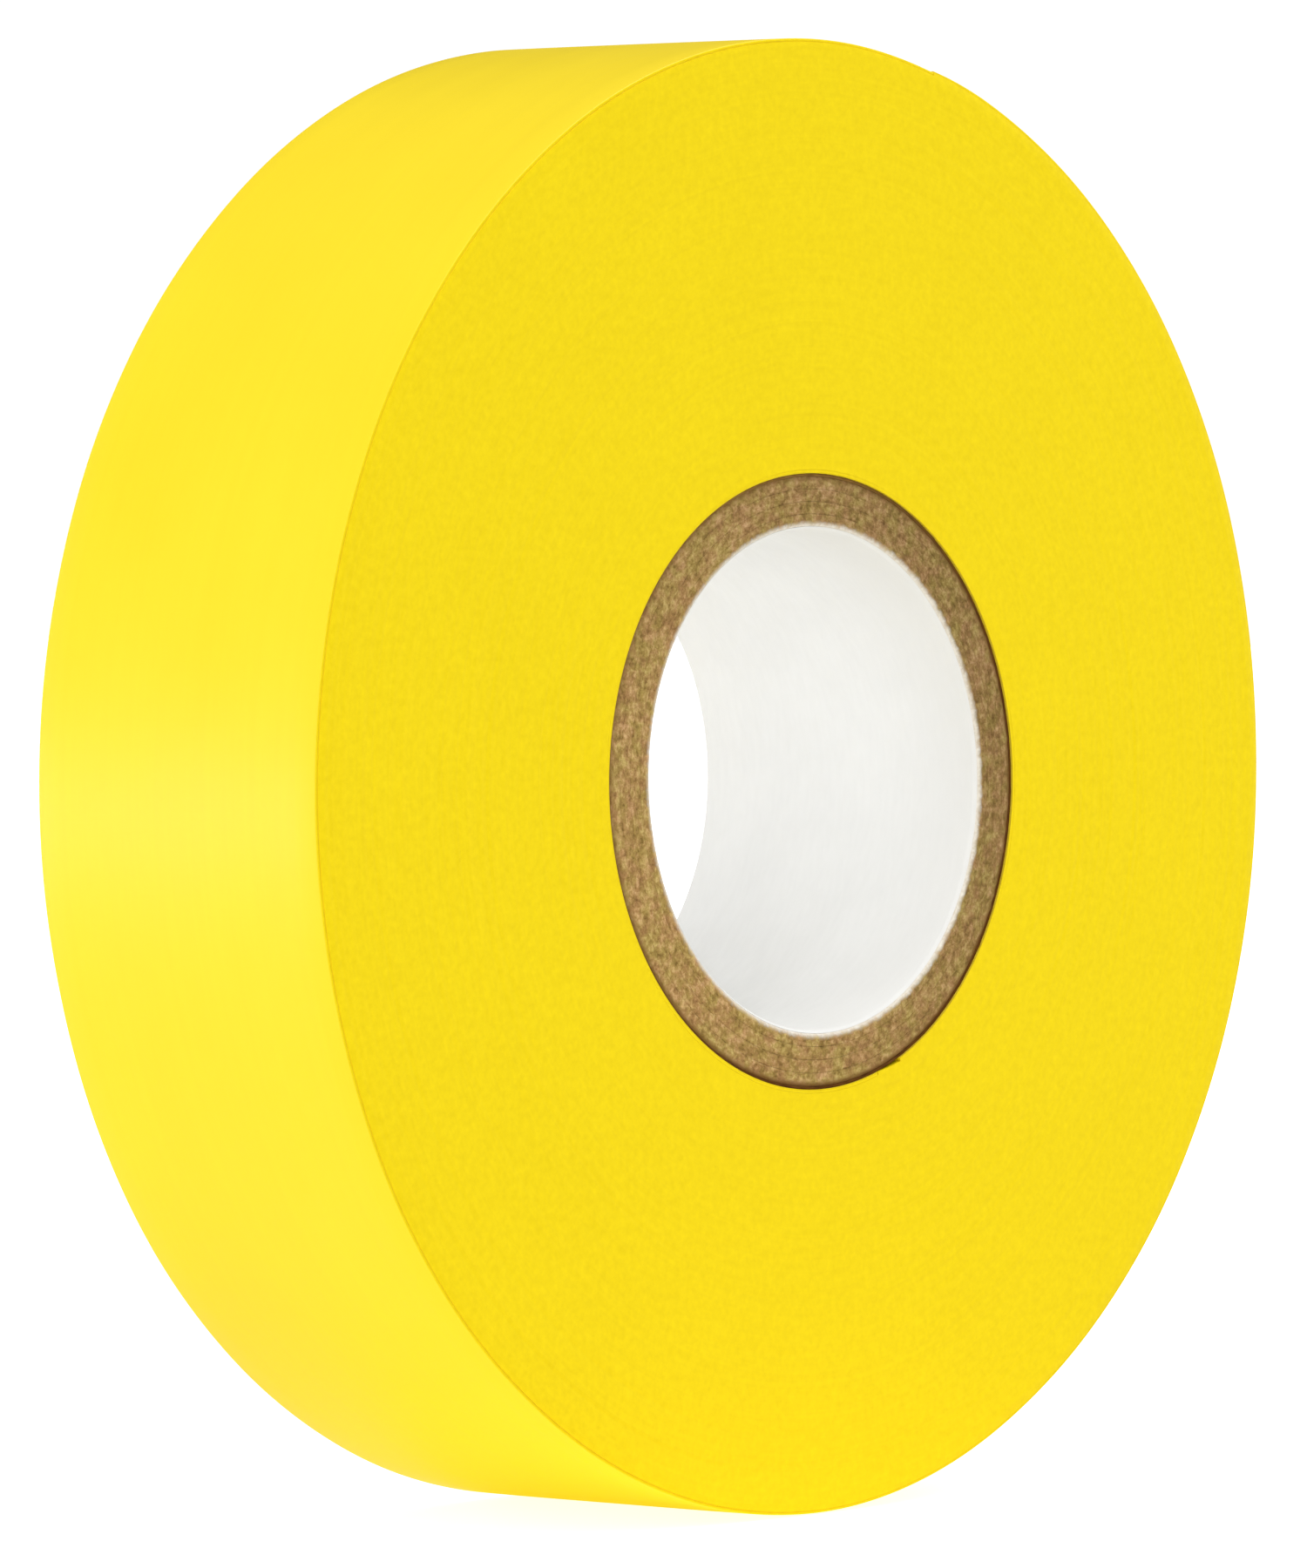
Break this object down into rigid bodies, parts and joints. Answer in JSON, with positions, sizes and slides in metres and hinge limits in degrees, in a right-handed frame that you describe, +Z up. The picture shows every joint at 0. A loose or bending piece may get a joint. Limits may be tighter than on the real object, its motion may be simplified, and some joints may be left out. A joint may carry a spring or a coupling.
{
  "type": "electrical tape roll",
  "caption": "Roll of yellow vinyl electrical tape on a paper core, standing on its rim, with a free tail that peels away from the roll.",
  "frame": {"origin": "the centre of the bore, halfway through the roll's width; the roll stands on its rim, its lowest facet at z = -0.0383 m", "axes": "+Y along the roll's axis, towards the back face; the front face looks along -Y; +Z is up; seen from the front the strip winds counter-clockwise to its tip"},
  "size_m": [0.0765, 0.019, 0.0763],
  "materials": {
    "liner_paper": "matte",
    "kraft_board": "matte",
    "kraft_wrap": "matte",
    "wound_vinyl": "satin",
    "vinyl_film": "satin",
    "adhesive": "gloss"
  },
  "bodies": {
    "roll": {"core_liner": "liner_paper", "core_kraft_ply_1": "kraft_board", "core_kraft_ply_2": "kraft_board", "core_kraft_ply_3": "kraft_board", "core_kraft_ply_4": "kraft_board", "core_outer_wrap": "kraft_wrap", "start_turn_adhesive": "adhesive", "start_turn_film": "vinyl_film", "wound_turns": "wound_vinyl", "outer_turn_adhesive": "adhesive", "outer_turn_film": "vinyl_film"},
    "tail_1": {"tail_1_adhesive": "adhesive", "tail_1_film": "vinyl_film"},
    "tail_2": {"tail_2_adhesive": "adhesive", "tail_2_film": "vinyl_film"},
    "tail_3": {"tail_3_adhesive": "adhesive", "tail_3_film": "vinyl_film"},
    "tail_4": {"tail_4_adhesive": "adhesive", "tail_4_film": "vinyl_film"},
    "tail_5": {"tail_5_adhesive": "adhesive", "tail_5_film": "vinyl_film"},
    "tail_6": {"tail_6_adhesive": "adhesive", "tail_6_film": "vinyl_film"}
  },
  "joints": [
    {"name": "tail_hinge_1", "type": "hinge", "parent": "roll", "child": "tail_1", "pos_m": [0.037, 0, 0.00991], "axis": [0, 1, 0], "range_deg": [0, 60]},
    {"name": "tail_hinge_2", "type": "hinge", "parent": "tail_1", "child": "tail_2", "pos_m": [0.03472, 0, 0.01619], "axis": [0, 1, 0], "range_deg": [0, 20]},
    {"name": "tail_hinge_3", "type": "hinge", "parent": "tail_2", "child": "tail_3", "pos_m": [0.03139, 0, 0.02198], "axis": [0, 1, 0], "range_deg": [0, 20]},
    {"name": "tail_hinge_4", "type": "hinge", "parent": "tail_3", "child": "tail_4", "pos_m": [0.0271, 0, 0.0271], "axis": [0, 1, 0], "range_deg": [0, 20]},
    {"name": "tail_hinge_5", "type": "hinge", "parent": "tail_4", "child": "tail_5", "pos_m": [0.02198, 0, 0.0314], "axis": [0, 1, 0], "range_deg": [0, 20]},
    {"name": "tail_hinge_6", "type": "hinge", "parent": "tail_5", "child": "tail_6", "pos_m": [0.0162, 0, 0.03474], "axis": [0, 1, 0], "range_deg": [0, 20]}
  ],
  "couplings": [
    {"joint": "tail_hinge_2", "follows": "tail_hinge_1", "ratio": 0.33333},
    {"joint": "tail_hinge_3", "follows": "tail_hinge_1", "ratio": 0.33333},
    {"joint": "tail_hinge_4", "follows": "tail_hinge_1", "ratio": 0.33333},
    {"joint": "tail_hinge_5", "follows": "tail_hinge_1", "ratio": 0.33333},
    {"joint": "tail_hinge_6", "follows": "tail_hinge_1", "ratio": 0.33333}
  ]
}
